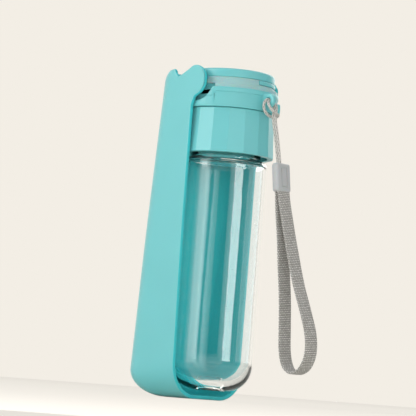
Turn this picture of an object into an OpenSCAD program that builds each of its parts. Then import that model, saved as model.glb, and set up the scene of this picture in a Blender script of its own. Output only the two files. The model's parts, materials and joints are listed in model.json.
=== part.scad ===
// Dog travel water bottle, folded up: a clear bottle under a push-button head, with a
// drinking bowl that wraps the back of the bottle and swings up over the head.
// Millimetres. The origin is the middle of the bowl's foot, on the table. Z runs up along
// the bottle, the front with its eyelet is at +X, and the bowl is at -X.

/* [Bottle] */
// Outside radius of the clear bottle
bottle_r = 26; // [24:0.5:26.5]
// Wall of the clear bottle
bottle_wall = 2.2; // [1.6:0.1:3]
// Thickness of the bottle's base
bottle_base = 4.6; // [3:0.2:6]
// Radius of the bottle's bottom corner
bottle_corner = 16.5; // [14:0.5:19]
// Gap between the bottle's underside and the bowl's floor
bottle_gap = 3.4; // [2.8:0.1:4]
// Height of the bottle from its underside to its shoulder
bottle_h = 146.5; // [120:0.5:147]
// Outside radius of the bottle's neck
neck_r = 22; // [20:0.5:22.5]
// Length of the neck above the shoulder
neck_h = 18.6; // [16:0.2:19]

/* [Grip collar] */
// How far the corners of the collar's lower edge stand out past the head's skirt
collar_out = 0.1; // [-0.5:0.1:0.2]
// How much smaller that radius is at the collar's upper edge
collar_flare = 1.5; // [0:0.1:2]
// Number of flat grips round the collar
collar_flats = 18; // [14:2:24]
// Height of the collar
collar_h = 28; // [26:0.5:28]
// Wall of the collar's outer skirt
collar_wall = 2; // [1.6:0.1:2.6]

/* [Head] */
// Radius of the head's skirt
head_r = 30; // [29:0.1:30.2]
// Wall of the head's skirt
head_wall = 2.2; // [1.8:0.1:2.6]
// Height of the skirt and its lip together
head_h = 12.3; // [11:0.1:13]
// Height of the raised lip along the skirt's upper edge
lip_h = 3; // [2:0.2:4]
// How far the lip stands proud of the skirt
lip_proud = 0.5; // [0.2:0.1:0.6]
// How far the cap's side lies inside the skirt's face
cap_inset = 2.6; // [2.4:0.1:3.6]
// Height of the cap
cap_h = 5.5; // [5:0.1:6]
// Radius of the cap's rounded upper edge
cap_round = 2; // [0.5:0.1:2.4]
// How far the gasket ring on the lip lies inside the skirt's face
gasket_inset = 0.4; // [0.1:0.1:0.8]
// Height of the gasket ring
gasket_h = 2.4; // [1.6:0.1:3]
// How far the soft band between the gasket ring and the cap lies inside the skirt's face
band_inset = 2.4; // [2:0.1:2.8]
// Thickness of that band where the cap meets it
band_t = 1.2; // [0.9:0.1:1.5]
// Air round each hinge ear in the head's side
arch_gap = 2.4; // [1.8:0.1:2.6]

/* [Bowl] */
// Air between the head's skirt and each side wall of the bowl
side_gap = 0.6; // [0.6:0.1:3]
// Wall of the bowl
bowl_wall = 2.5; // [1.8:0.1:2.7]
// Thickness of the bowl's foot
foot_t = 2.5; // [2:0.1:3]
// Height of the back wall's upper edge
bowl_top = 206.5; // [204:0.1:207]
// Distance from the bottle's axis to the back wall at the bowl's foot
bowl_back = 49.5; // [46:0.5:56]
// How far the back wall leans in, per millimetre of height
back_lean = 0.073; // [0.04:0.001:0.074]
// Distance of the bowl's rim behind the bottle's axis
rim_back = 1; // [0.5:0.1:4]
// Radius of the bowl's upright back corners
back_corner = 14; // [10:1:18]
// Radius of the foot's corners along the rim
front_round = 23; // [18:1:24]
// Radius of the foot's corners along the back
back_round = 17; // [12:1:20]
// How much each side wall draws in towards the foot
side_draw = 1.5; // [0:0.1:1.6]

/* [Hinge] */
// Height of the bowl's hinge axis
pivot_z = 198.2; // [197.6:0.1:198.4]
// Radius of the bowl's two hinge ears
ear_r = 9.8; // [8:0.1:10]
// Radius of the hinge pins
pin_r = 2.2; // [1.6:0.1:2.4]
// Running clearance between a hinge pin and its bore
pin_clear = 0.06; // [0.03:0.01:0.1]

/* [Push button] */
// Direction of the button, from the front towards the left side
button_angle = 50; // [45:1:54]
// Radius of the button's cap
button_r = 3.6; // [3:0.1:3.7]
// How far the button stands out of the skirt
button_out = 1.9; // [1.8:0.1:2.4]
// Travel of the button
button_travel = 1.6; // [1:0.1:1.6]

/* [Lock slide] */
// Arc of the lock slide that shows in the soft band
lock_arc = 56; // [40:1:60]
// Travel of the lock slide round the head
lock_travel = 12; // [6:1:12]

/* [Eyelet and strap] */
// Radius of the eyelet's round end
eyelet_r = 4.5; // [4.2:0.1:5]
// Thickness of the eyelet
eyelet_t = 2.4; // [2:0.1:2.6]
// Radius of the eyelet's hole
eyelet_hole = 2.1; // [2:0.1:2.3]
// Diameter of the braided cord
cord_d = 1.8; // [1.4:0.1:1.8]
// Width of the woven wrist loop
web_w = 10; // [8:0.1:10.5]
// Thickness of the woven wrist loop
web_t = 1.8; // [1:0.1:1.8]
// Length of the cord slider
slider_l = 18; // [17:0.5:19]
// Width of the cord slider
slider_w = 12; // [11.5:0.1:13]
// Thickness of the cord slider
slider_t = 5.4; // [5.2:0.1:6.5]

/* [Hidden] */

teal = [0.49, 0.82, 0.82];
deep_teal = [0.36, 0.72, 0.72];
clear_body = [0.86, 0.94, 0.95, 0.4];
milky = [0.62, 0.78, 0.78, 0.8];
strap_grey = [0.66, 0.66, 0.65];

$fn = 96;
eps = 0.01;
axis_x = (rim_back + bowl_back - back_round) / 2; // the bottle's axis stands this far in front of the origin
bowl_half = head_r + side_gap + bowl_wall;
collar_r = head_r + collar_out;
cap_r = head_r - cap_inset;
gasket_r = head_r - gasket_inset;
band_r = head_r - band_inset;
arch_r = ear_r + arch_gap;
part_gap = 0.3;                        // air between pieces that move past each other
seat_gap = 0.05;                       // air round a piece that sits in its place

// Levels up the bottle and the head
bottle_z = foot_t + bottle_gap;
shoulder_z = bottle_z + bottle_h;
neck_top = shoulder_z + neck_h;
neck_bore = neck_r - bottle_wall;
gasket_t = 2;                          // rubber ring on the bottle's mouth
spigot_z = neck_top + gasket_t;        // underside of the head's spigot
head_z = spigot_z + 9.3;               // underside of the head's skirt
collar_top = head_z - part_gap;
collar_z = collar_top - collar_h;
lip_top = head_z + head_h;
band_z = lip_top + gasket_h;
cap_z = pivot_z + 3.3;
cap_top = cap_z + cap_h;

// Inside of the head
spigot_r = neck_r + 0.4;               // outside of the spigot that the collar turns on
snap_r = spigot_r + 1;                 // lip that keeps the collar on the spigot
snap_h = 2.4;
tube_r = 18;                           // bore of the outlet chamber
tube_wall = 2;
ledge_r = tube_r - 2;                  // ledge under the valve seat
seat_z = spigot_z + 4;
seat_t = 2.5;
seat_hole = 8.4;
hub_r = 3.6;
core_r = band_r - band_t;              // wall that carries the soft band
core_wall = 2;
shelf_t = 2;
boss_r = 5;
boss_y = head_r - 0.1;                 // outer face of each hinge boss
ear_in = bowl_half - bowl_wall;        // inner face of each ear
washer_t = ear_in - boss_y - 0.15;
pin_in = tube_r + tube_wall + part_gap; // inner end of each hinge pin
pin_seat = 1.3;                        // depth of the pin's seat in the ear

// Valve
stem_r = 2;
stem_clear = 0.06;
stem_tail = 2.2;                       // length of the stem below the disc
stem_rise = 2;                         // length of the stem above the wedge
disc_r = seat_hole + 1.2;
disc_t = 2.3;
button_z = head_z + 4.4;
button_clear = 0.15;
plunger_r = 2.5;
plunger_clear = 0.06;
plunger_tip = 4;                       // where the plunger's tip ends, from the axis
button_seal_r = plunger_r + 1.4;
button_seal_in = tube_r + tube_wall - 0.4; // flat seat of that seal in the chamber's wall
wedge_r = 6.5;
wedge_edge = 1.6;
wedge_gap = 0.4;                       // how far the wedge stays below the plunger's slope
wedge_z = button_z + plunger_r + plunger_tip - wedge_r - wedge_gap;

function inset(r, h) = h >= r ? 0 : r - sqrt(max(0, r * r - pow(r - max(h, 0), 2)));
function smooth(v) = let (u = min(1, max(0, v))) u * u * (3 - 2 * u);

// ---------------------------------------------------------------- helpers

// Places what is laid out round the bottle's axis
module about_axis() {
    translate([axis_x, 0, 0]) children();
}

// Half outline of a round body with rounded lower and upper corners
module slug(r, z0, z1, low, high) {
    intersection() {
        translate([0, z0]) square([r, z1 - z0]);
        union() {
            translate([0, z0]) square([r - low, z1 - z0 - high]);
            translate([0, z0 + low]) square([r, z1 - z0 - low - high]);
            translate([0, z1 - high - eps]) square([r - high, high + eps]);
            translate([r - low, z0 + low]) circle(low);
            translate([r - high, z1 - high]) circle(high);
        }
    }
}

// Ring about Z
module ring(inner, outer, z0, h) {
    translate([0, 0, z0]) difference() {
        cylinder(r = outer, h = h);
        translate([0, 0, -1]) cylinder(r = inner, h = h + 2);
    }
}

// Cylinder along Y from y0 to y1 through the hinge axis
module cross_pin(r, y0, y1) {
    translate([0, y0, pivot_z]) rotate([-90, 0, 0]) cylinder(r = r, h = y1 - y0);
}

// Rod along the button's axis, from radius r0 out to r1
module button_rod(r, r0, r1) {
    rotate([0, 0, button_angle]) translate([r0, 0, button_z]) rotate([0, 90, 0]) cylinder(r = r, h = r1 - r0);
}

// Solid through a list of closed rings with the same number of points
module loft(rings) {
    n = len(rings[0]);
    m = len(rings);
    points = [for (ring_points = rings) each ring_points];
    sides = [for (i = [0 : m - 2]) for (j = [0 : n - 1]) let (k = (j + 1) % n)
        each [[i * n + j, i * n + k, (i + 1) * n + k], [i * n + j, (i + 1) * n + k, (i + 1) * n + j]]];
    polyhedron(points, concat([[for (j = [n - 1 : -1 : 0]) j]], sides, [[for (j = [0 : n - 1]) (m - 1) * n + j]]),
               convexity = 6);
}

// ---------------------------------------------------------------- bowl

lean_r = 9;                            // the back wall's upper edge curls in
lean_z = bowl_top - 7.5;
bowl_front = ear_r + 4;                // the lofts run past the ears and are cut back

function back_at(z) = bowl_back - back_lean * z
    - (lean_r - sqrt(lean_r * lean_r - pow(max(0, min(z, bowl_top) - lean_z), 2)));
function side_at(z) = bowl_half - side_draw * (1 - smooth(z / 120));

// One level of the bowl's body, drawn in by t
function bowl_ring(z, h, t, front) =
    let (rim_half = side_at(z) - t - inset(front_round - t, h),
         back_half = side_at(z) - t - inset(back_round - t, h),
         back = -(back_at(z) - t - inset(back_round - t, h)),
         r = min(back_corner - t, back_half - 0.5))
    concat([[front, -rim_half, z]],
           [for (a = [270 : -10 : 180]) [back + r + r * cos(a), -back_half + r + r * sin(a), z]],
           [for (a = [180 : -10 : 90]) [back + r + r * cos(a), back_half - r + r * sin(a), z]],
           [[front, rim_half, z]]);

low_steps = [0, 0.5, 1.6, 3.4, 6, 9.5, 13.5, 18, 24];
high_steps = [40, 60, 80, 100, 120, 160, lean_z, lean_z + 3, lean_z + 5.5];

// Fillet between each ear and the rim
neck_fillet = 6;
fillet_x = -rim_back + neck_fillet;
fillet_z = pivot_z - sqrt(pow(ear_r + neck_fillet, 2) - fillet_x * fillet_x);

// Valley between each ear and the back wall's upper edge
valley_slope = 29;
valley_back_slope = 35;
valley_run = 10.4;
valley_r = 1.6;
valley_x = -ear_r * sin(valley_slope) - valley_run * cos(valley_slope) - valley_r * sin(valley_slope);
valley_z = pivot_z + ear_r * cos(valley_slope) - valley_run * sin(valley_slope) + valley_r * cos(valley_slope);

function arc(x, z, r, from, to, steps) =
    [for (i = [0 : steps]) let (a = from + (to - from) * i / steps) [x + r * cos(a), z + r * sin(a)]];

// Side view of the bowl, x across and z up: rim, fillet, ear, valley, and clear past the back
module bowl_side() {
    neck_angle = atan2(fillet_z - pivot_z, fillet_x);
    rise = 14;
    polygon(concat(
        [[-rim_back, -1]],
        arc(fillet_x, fillet_z, neck_fillet, 180, neck_angle + 180, 6),
        arc(0, pivot_z, ear_r, neck_angle + 3, 90 + valley_slope, 38),
        arc(valley_x, valley_z, valley_r, valley_slope - 90, -90 - valley_back_slope, 6),
        [[valley_x - valley_r * sin(valley_back_slope) - rise * cos(valley_back_slope),
          valley_z - valley_r * cos(valley_back_slope) + rise * sin(valley_back_slope)],
         [-bowl_back - 1, bowl_top + 2], [-bowl_back - 1, -1]]));
}

module bowl() {
    color(teal) about_axis() difference() {
        intersection() {
            loft([for (z = concat(low_steps, high_steps, [bowl_top])) bowl_ring(z, z, 0, bowl_front)]);
            rotate([90, 0, 0]) linear_extrude(2 * bowl_half + 4, center = true) bowl_side();
        }
        loft([for (z = concat([for (s = low_steps) foot_t + s], high_steps, [bowl_top, bowl_top + 10]))
              bowl_ring(z, z - foot_t, bowl_wall, bowl_front + 2)]);
        cross_pin(pin_r, -ear_in - pin_seat, ear_in + pin_seat);
    }
}

// Hinge pin pressed into the ear, with a snap head behind the head's boss
module hinge_pin(side) {
    snap_len = 1.2;
    color(deep_teal) about_axis() mirror([0, side < 0 ? 1 : 0, 0]) union() {
        cross_pin(pin_r, pin_in, ear_in + pin_seat);
        cross_pin(pin_r + 0.7, pin_in, pin_in + snap_len);
    }
}
module hinge_pin_left() { hinge_pin(1); }
module hinge_pin_right() { hinge_pin(-1); }

// Friction washer on each hinge boss
module hinge_washer(side) {
    color([0.92, 0.92, 0.9]) about_axis() mirror([0, side < 0 ? 1 : 0, 0]) difference() {
        cross_pin(boss_r, boss_y, boss_y + washer_t);
        cross_pin(pin_r + 0.3, boss_y - 1, boss_y + washer_t + 1);
    }
}
module hinge_washer_left() { hinge_washer(1); }
module hinge_washer_right() { hinge_washer(-1); }

// ---------------------------------------------------------------- head

arch_lip = 3;                          // width of the raised lip round each arch
arch_lip_low = head_z + 6.5;           // where that lip fades out

// Openings round the two ears, cut from the side
module ear_arches() {
    for (m = [0, 1]) mirror([0, m, 0]) cross_pin(arch_r, core_r + eps, head_r + 10);
}

module eyelet_plate() {
    eyelet_x = head_r + 4.8;
    eyelet_z = head_z + 6.1;
    rotate([90, 0, 0]) linear_extrude(eyelet_t, center = true) difference() {
        union() {
            translate([eyelet_x, eyelet_z]) circle(eyelet_r);
            translate([head_r - 1, eyelet_z - eyelet_r]) square([eyelet_x - head_r + 1, 2 * eyelet_r]);
        }
        translate([eyelet_x, eyelet_z]) circle(eyelet_hole);
    }
}

module head_body() {
    color(teal) about_axis() difference() {
        union() {
            // skirt with its raised lip and the shelf that closes it
            difference() {
                union() {
                    ring(head_r - head_wall, head_r, head_z, head_h);
                    intersection() {
                        ring(head_r - head_wall, head_r + lip_proud, head_z, head_h);
                        union() {
                            translate([0, 0, lip_top - lip_h]) cylinder(r = head_r + 2, h = lip_h);
                            intersection() {
                                for (m = [0, 1]) mirror([0, m, 0])
                                    cross_pin(arch_r + arch_lip, 0, head_r + 2);
                                translate([0, 0, arch_lip_low]) cylinder(r = head_r + 2, h = head_h);
                            }
                        }
                    }
                    ring(core_r - core_wall, head_r - eps, lip_top - shelf_t, shelf_t);
                }
                ear_arches();
            }
            // core wall behind the soft band
            ring(core_r - core_wall, core_r, head_z + 1, cap_z - head_z - 1);
            // deck that closes the skirt below, and the outlet chamber with its spigot
            ring(tube_r, head_r - head_wall + eps, head_z, shelf_t);
            ring(tube_r, tube_r + tube_wall, seat_z, cap_z + 1 - seat_z);
            ring(ledge_r, spigot_r, spigot_z, head_z + 1 - spigot_z);
            ring(spigot_r - eps, snap_r, spigot_z, snap_h);
            // hinge bosses
            for (m = [0, 1]) mirror([0, m, 0])
                cross_pin(boss_r, tube_r + tube_wall + 3, boss_y);
            eyelet_plate();
        }
        // valve seat's place and the chamber above it
        translate([0, 0, seat_z]) cylinder(r = tube_r, h = cap_z + 10 - seat_z);
        // bores for the hinge pins, the button and its plunger
        for (m = [0, 1]) mirror([0, m, 0]) {
            cross_pin(pin_r + pin_clear, tube_r + tube_wall + 2, head_r + 2);
        }
        button_rod(button_r + button_clear, head_r - head_wall - 1, head_r + 4);
        button_rod(plunger_r + plunger_clear, tube_r - 2, head_r);
        button_rod(button_seal_r + seat_gap, button_seal_in, button_seal_in + 2.6);
        // window for the lock slide in the core wall
        lock_window(core_r - core_wall - 1, core_r + 1, 0);
    }
}

// ---------------------------------------------------------------- lock slide

lock_start = -5.4;                     // the slide's end that shows, from the front
lock_h = 2.6;
lock_z = cap_z - part_gap - lock_h;

// Space that the lock slide needs over its travel
module lock_window(r0, r1, extra) {
    translate([0, 0, lock_z - part_gap]) rotate([0, 0, lock_start - 1 - extra])
        rotate_extrude(angle = lock_arc + lock_travel + 2 + 2 * extra)
            translate([r0, 0]) square([r1 - r0, lock_h + part_gap + eps]);
}

module lock_slide() {
    rail_r = core_r - core_wall;
    color(teal) about_axis() rotate([0, 0, lock_start]) translate([0, 0, lock_z]) union() {
        // tab that shows, with a fine groove along its upper edge
        rotate_extrude(angle = lock_arc) difference() {
            translate([core_r - core_wall + 0.2, 0]) square([band_r + 0.3 - core_r + core_wall - 0.2, lock_h]);
            translate([band_r, lock_h - 0.6]) square([1, 1]);
        }
        // rail inside the core wall
        translate([0, 0, -2]) rotate([0, 0, 4]) rotate_extrude(angle = lock_arc - 8)
            translate([rail_r - 1.9, 0]) square([1.6, lock_h + 2]);
        rotate([0, 0, 4]) rotate_extrude(angle = lock_arc - 8)
            translate([rail_r - 1, 0]) square([1.5, lock_h]);
    }
}

// ---------------------------------------------------------------- outlet cap and seals

deck_z = cap_z + 1.2;                  // underside of the cap's deck
deck_t = 1.8;
dome_r = 40;                           // low dome that the water runs off
dome_rise = 1.5;
dome_edge = 9;
outlet_ring = 13;                      // the outlet holes stand on this circle
outlet_r = 1.6;

module outlet_cap() {
    color(teal) about_axis() difference() {
        union() {
            difference() {
                rotate_extrude() slug(cap_r, cap_z, cap_top, 0.3, cap_round);
                translate([0, 0, cap_z - 1]) cylinder(r = cap_r - 2.4, h = cap_h + 2);
            }
            translate([0, 0, deck_z]) cylinder(r = cap_r - 2, h = deck_t);
            intersection() {
                translate([0, 0, deck_z + deck_t + dome_rise - dome_r]) sphere(r = dome_r);
                translate([0, 0, deck_z]) cylinder(r = dome_edge, h = deck_t + dome_rise + 1);
            }
        }
        // outlet holes round the dome
        for (i = [0 : 11]) rotate([0, 0, 15 + 30 * i]) translate([outlet_ring, 0, deck_z - 1])
            cylinder(r = outlet_r, h = deck_t + 2, $fn = 32);
        // groove that the chamber's rim stands in
        ring(tube_r - 0.1, tube_r + tube_wall + 0.1, deck_z - 1, 1.2);
        // relief over the two hinge bosses
        for (m = [0, 1]) mirror([0, m, 0]) cross_pin(boss_r + 0.1, tube_r + tube_wall + 1, head_r);
    }
}

module cap_o_ring() {
    wire_r = 0.6;
    color([0.85, 0.87, 0.86]) about_axis() translate([0, 0, deck_z - wire_r])
        rotate_extrude() translate([tube_r + tube_wall + wire_r + 0.1, 0]) circle(wire_r, $fn = 32);
}

// Keeps the half of a ring that lies before or behind the hinge bosses
module half_ring(front) {
    intersection() {
        children();
        translate([front ? 0 : -2 * head_r, -2 * head_r, 0]) cube([2 * head_r, 4 * head_r, cap_top]);
    }
}

// Translucent soft band between the gasket ring and the cap, in two halves
module seal_band(front) {
    top_z = cap_z - 0.1;
    foot_out = 0.5;                    // flare at the band's lower edge
    foot_h = 1.4;
    draw = 0.4;                        // how far the band draws in under the cap
    color(milky) about_axis() half_ring(front) difference() {
        rotate_extrude() polygon([[core_r + seat_gap, band_z], [band_r + foot_out, band_z],
                                  [band_r, band_z + foot_h], [band_r - draw, top_z], [core_r + seat_gap, top_z]]);
        for (m = [0, 1]) mirror([0, m, 0]) cross_pin(boss_r + 0.2, core_r - 1, head_r);
        lock_window(core_r - 1, band_r + 2, -0.7);
    }
}
module seal_band_front() { seal_band(true); }
module seal_band_rear() { seal_band(false); }

// Translucent gasket ring that lies on the skirt's lip, in two halves that end at the arches
module gasket_ring(front) {
    end_angle = acos(arch_r / gasket_r) - 1;
    color(milky) about_axis() rotate([0, 0, (front ? 0 : 180) - end_angle])
        rotate_extrude(angle = 2 * end_angle) slug_ring(core_r + seat_gap, gasket_r, lip_top, gasket_h, 0.8);
}
module gasket_ring_front() { gasket_ring(true); }
module gasket_ring_rear() { gasket_ring(false); }

// Half section of a flat ring with a rounded outer face
module slug_ring(inner, outer, z0, h, round_r) {
    difference() {
        slug(outer, z0, z0 + h, 0.2, round_r);
        translate([-1, z0 - 1]) square([inner + 1, h + 2]);
    }
}

// ---------------------------------------------------------------- valve and button

module valve_seat() {
    rib_angle = 18;
    color([0.9, 0.93, 0.93]) about_axis() translate([0, 0, seat_z]) difference() {
        cylinder(r = tube_r - seat_gap, h = seat_t);
        translate([0, 0, -1]) cylinder(r = stem_r + stem_clear, h = seat_t + 2);
        // three windows between the ribs that carry the hub
        for (i = [0 : 2]) rotate([0, 0, 120 * i + 20 + rib_angle / 2]) translate([0, 0, -1])
            rotate_extrude(angle = 120 - rib_angle) translate([hub_r, 0]) square([seat_hole - hub_r, seat_t + 2]);
    }
}

module valve_stem() {
    stem_low = seat_z - disc_t - stem_tail;
    color([0.93, 0.93, 0.91]) about_axis() union() {
        translate([0, 0, stem_low]) cylinder(r = stem_r, h = wedge_z + wedge_r + stem_rise - stem_low);
        translate([0, 0, wedge_z - wedge_edge]) cylinder(r = wedge_r, h = wedge_edge);
        translate([0, 0, wedge_z]) cylinder(r1 = wedge_r, r2 = stem_r, h = wedge_r - stem_r);
    }
}

module valve_disc() {
    color([0.8, 0.83, 0.83]) about_axis() difference() {
        translate([0, 0, seat_z - disc_t - seat_gap]) cylinder(r = disc_r, h = disc_t);
        translate([0, 0, seat_z - disc_t - 1]) cylinder(r = stem_r + 0.02, h = disc_t + 2);
    }
}

module valve_nut() {
    nut_t = 1.6;
    color([0.75, 0.76, 0.77]) about_axis() translate([0, 0, seat_z - disc_t - seat_gap - nut_t]) difference() {
        cylinder(r = 4, h = nut_t, $fn = 6);
        translate([0, 0, -1]) cylinder(r = stem_r + 0.02, h = nut_t + 2);
    }
}

spring_turns = 4;
spring_r = 4.4;
spring_wire = 0.35;
module valve_spring() {
    z0 = seat_z + seat_t + spring_wire;
    z1 = wedge_z - wedge_edge - spring_wire;
    steps = 12 * spring_turns;
    rings = [for (i = [0 : steps]) let (a = 360 * spring_turns * i / steps, u = i / steps)
        [for (k = [0 : 5]) let (b = 60 * k)
            [(spring_r + spring_wire * cos(b)) * cos(a), (spring_r + spring_wire * cos(b)) * sin(a),
             z0 + (z1 - z0) * u + spring_wire * sin(b)]]];
    color([0.72, 0.73, 0.74]) about_axis() loft(rings);
}

module push_button() {
    cap_in = head_r - 1.1;
    cap_out = head_r + button_out;
    edge_r = 0.6;
    color(teal) about_axis() difference() {
        union() {
            rotate([0, 0, button_angle]) translate([0, 0, button_z]) rotate([0, 90, 0])
                rotate_extrude() slug(button_r, cap_in, cap_out, 0.1, edge_r);
            button_rod(plunger_r, plunger_tip, cap_in + 1);
        }
        // sloping face that bears on the valve's wedge
        rotate([0, 0, button_angle]) translate([plunger_tip, 0, button_z + plunger_r]) rotate([0, 45, 0])
            translate([-2 * head_r, -head_r, -2 * head_r]) cube([4 * head_r, 2 * head_r, 2 * head_r]);
    }
}

module button_seal() {
    color([0.8, 0.83, 0.83]) about_axis() difference() {
        button_rod(button_seal_r, button_seal_in + seat_gap, button_seal_in + 2.2);
        button_rod(plunger_r + plunger_clear, tube_r, tube_r + tube_wall + 3);
    }
}

// ---------------------------------------------------------------- collar and bottle

collar_turn = -4;                      // where the collar's flats have come to rest
module grip_collar() {
    sleeve_r = neck_r + part_gap;
    sleeve_z = shoulder_z + 3.5;
    pocket_r = snap_r + 0.4;
    pocket_z = spigot_z - 0.2;
    web_z = spigot_z + snap_h + 0.3;
    web_h = 2.6;
    color(teal) about_axis() union() {
        difference() {
            translate([0, 0, collar_z]) rotate([0, 0, collar_turn])
                linear_extrude(collar_h, scale = (collar_r - collar_flare) / collar_r)
                    polygon([for (i = [0 : collar_flats - 1]) let (a = 360 * i / collar_flats)
                        collar_r * [cos(a), sin(a)]]);
            translate([0, 0, collar_z - 1]) cylinder(r = (collar_r - collar_flare) * cos(180 / collar_flats)
                                                        - collar_wall, h = collar_h + 2);
        }
        ring(spigot_r + 0.3, (collar_r - collar_flare) * cos(180 / collar_flats) - collar_wall + eps, web_z, web_h);
        ring(sleeve_r, sleeve_r + 2.2, sleeve_z, pocket_z - sleeve_z);
        ring(pocket_r, sleeve_r + 2.2, pocket_z - eps, web_z - pocket_z + 2 * eps);
    }
}

module bottle() {
    neck_in = bottle_z + bottle_base;
    color(clear_body) about_axis() difference() {
        rotate_extrude() union() {
            slug(bottle_r, bottle_z, shoulder_z, bottle_corner, 4);
            translate([0, shoulder_z - 2]) square([neck_r, neck_h + 2]);
        }
        rotate_extrude() union() {
            slug(bottle_r - bottle_wall, neck_in, shoulder_z - bottle_wall, bottle_corner - bottle_wall, 3);
            translate([0, shoulder_z - 6]) square([neck_bore, neck_h + 8]);
        }
        // hollow under the base
        translate([0, 0, bottle_z - 1]) cylinder(r1 = bottle_r - bottle_corner - 1, r2 = bottle_r - bottle_corner - 2.5,
                                                 h = 2.8);
    }
}

module neck_gasket() {
    color([0.8, 0.83, 0.83]) about_axis() ring(neck_bore, neck_r - 0.1, neck_top, gasket_t);
}

// ---------------------------------------------------------------- lanyard

// Route of the braided cord: from the slider up behind the eyelet, through its hole, round
// both standing strands and back the same way
cord_route = [[43.6, 2.6, 148.5], [42.3, 2.3, 156], [40.3, 1.9, 166], [38.0, 1.7, 175], [37.0, 2.1, 180],
              [36.4, 3.0, 183.6], [35.2, 3.1, 186.8], [34.3, 1.9, 188.8], [34.1, 0, 189.1], [34.0, -1.9, 188.7],
              [33.6, -3.1, 186.9], [33.6, -3.4, 184.6], [34.3, -3.3, 182.2], [35.2, -2.3, 180.1], [35.2, -0.3, 179],
              [35.2, 2.1, 178.6], [36.3, 3.9, 178.5], [38.3, 4.2, 178.8], [40.1, 3.3, 179.3], [41.0, 1.2, 180],
              [40.8, -1.0, 180.9], [39.9, -2.7, 182.3], [38.5, -3.4, 184.3], [37.0, -3.1, 186.3], [35.9, -1.9, 187.5],
              [35.5, 0, 187.8], [35.9, 1.9, 187.5], [37.4, 3.1, 186], [38.6, 3.0, 183.4], [38.9, 2.2, 180],
              [39.8, 1.7, 175], [42.1, 1.9, 166], [44.1, 2.3, 156], [45.4, 2.6, 148.5]];

// The slider hangs square to the front, its lower end swung forwards
slider_tilt = 8.3;
slider_at = [46.4, 3.6, 140];

// Rectangle with rounded corners, round the origin
module rounded(w, h, r) {
    x = w / 2 - r;
    y = h / 2 - r;
    polygon(concat(arc(x, y, r, 0, 90, 5), arc(-x, y, r, 90, 180, 5),
                   arc(-x, -y, r, 180, 270, 5), arc(x, -y, r, 270, 360, 5)));
}

module cord_slider() {
    // a block with rounded edges and a fine key line on its face
    face_r = 3;
    edge_r = 1.6;
    key_w = 5.2;
    key_l = 12.5;
    line = 0.5;
    color([0.6, 0.63, 0.64]) about_axis() translate(slider_at) rotate([0, -slider_tilt, 0]) difference() {
        intersection() {
            rotate([90, 0, 90]) linear_extrude(slider_t + 2, center = true) rounded(slider_w, slider_l, face_r);
            linear_extrude(slider_l + 2, center = true) rounded(slider_t, slider_w + 0.4, edge_r);
            rotate([90, 0, 0]) linear_extrude(slider_w + 2, center = true)
                rounded(slider_t + 0.4, slider_l + 0.4, edge_r);
        }
        translate([slider_t / 2 - 0.35, 0, 0]) difference() {
            translate([0, -key_w / 2, -key_l / 2]) cube([2, key_w, key_l]);
            translate([-1, -key_w / 2 + line, -key_l / 2 + line]) cube([4, key_w - 2 * line, key_l - 2 * line]);
        }
    }
}

function unit(v) = v / norm(v);
// Point on a smooth curve through p, at position u counted in points
function on_route(p, u) =
    let (n = len(p), i = min(n - 2, floor(u)), t = u - i,
         a = p[max(0, i - 1)], b = p[i], c = p[i + 1], d = p[min(n - 1, i + 2)])
    0.5 * (2 * b + (c - a) * t + (2 * a - 5 * b + 4 * c - d) * t * t + (3 * b - a - 3 * c + d) * t * t * t);
// Carries a direction along the curve without twist
function carried(t, prev) = unit(prev - (prev * t) * t);
function frames(pts, i, side) = i >= len(pts) ? [] :
    let (t = unit(pts[min(len(pts) - 1, i + 1)] - pts[max(0, i - 1)]), s = carried(t, side))
    concat([[t, s, cross(t, s)]], frames(pts, i + 1, s));

module lanyard_cord() {
    per = 2;
    pts = [for (i = [0 : per * (len(cord_route) - 1)]) on_route(cord_route, i / per)];
    f = frames(pts, 0, [0, 1, 0]);
    color(strap_grey) about_axis() loft([for (i = [0 : len(pts) - 1]) [for (k = [0 : 7]) let (a = -45 * k)
        pts[i] + cord_d / 2 * (cos(a) * f[i][1] + sin(a) * f[i][2])]]);
}

// Route of the wrist loop's middle line: down the front strand and back up the rear one
loop_route = [[49, 4, 130], [50.2, 4.3, 124], [52.2, 4.8, 116], [55.4, 5.4, 104], [58.7, 5.9, 93], [61.9, 6.5, 82],
              [65.3, 7, 72], [69, 7.5, 63], [72.6, 7.9, 54], [75.4, 8.3, 46], [76.6, 8.8, 37.5], [75.6, 9.1, 30],
              [72.2, 9.4, 24], [67.6, 9.6, 21], [62.9, 9.6, 20.5], [58.6, 9.4, 23], [55.8, 9.2, 28.5], [54.5, 8.8, 36],
              [54.2, 8.3, 45], [53.4, 7.4, 64], [51.6, 6.5, 82], [49.5, 5.4, 104], [47.8, 4.6, 118], [46.8, 4, 130]];

module wrist_loop() {
    per = 2;
    pts = [for (i = [0 : per * (len(loop_route) - 1)]) on_route(loop_route, i / per)];
    color(strap_grey) about_axis() loft([for (i = [0 : len(pts) - 1])
        let (t = unit(pts[min(len(pts) - 1, i + 1)] - pts[max(0, i - 1)]),
             wide = carried(t, [0, 1, 0]),
             thick = cross(t, wide))
        [for (q = [[-1, -1], [-1, 1], [1, 1], [1, -1]]) pts[i] + q[0] * web_w / 2 * wide + q[1] * web_t / 2 * thick]]);
}

bowl();
hinge_pin_left();
hinge_pin_right();
hinge_washer_left();
hinge_washer_right();
head_body();
outlet_cap();
cap_o_ring();
seal_band_front();
seal_band_rear();
gasket_ring_front();
gasket_ring_rear();
valve_seat();
button_seal();
lock_slide();
push_button();
valve_stem();
valve_disc();
valve_nut();
valve_spring();
grip_collar();
bottle();
neck_gasket();
lanyard_cord();
cord_slider();
wrist_loop();
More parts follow.
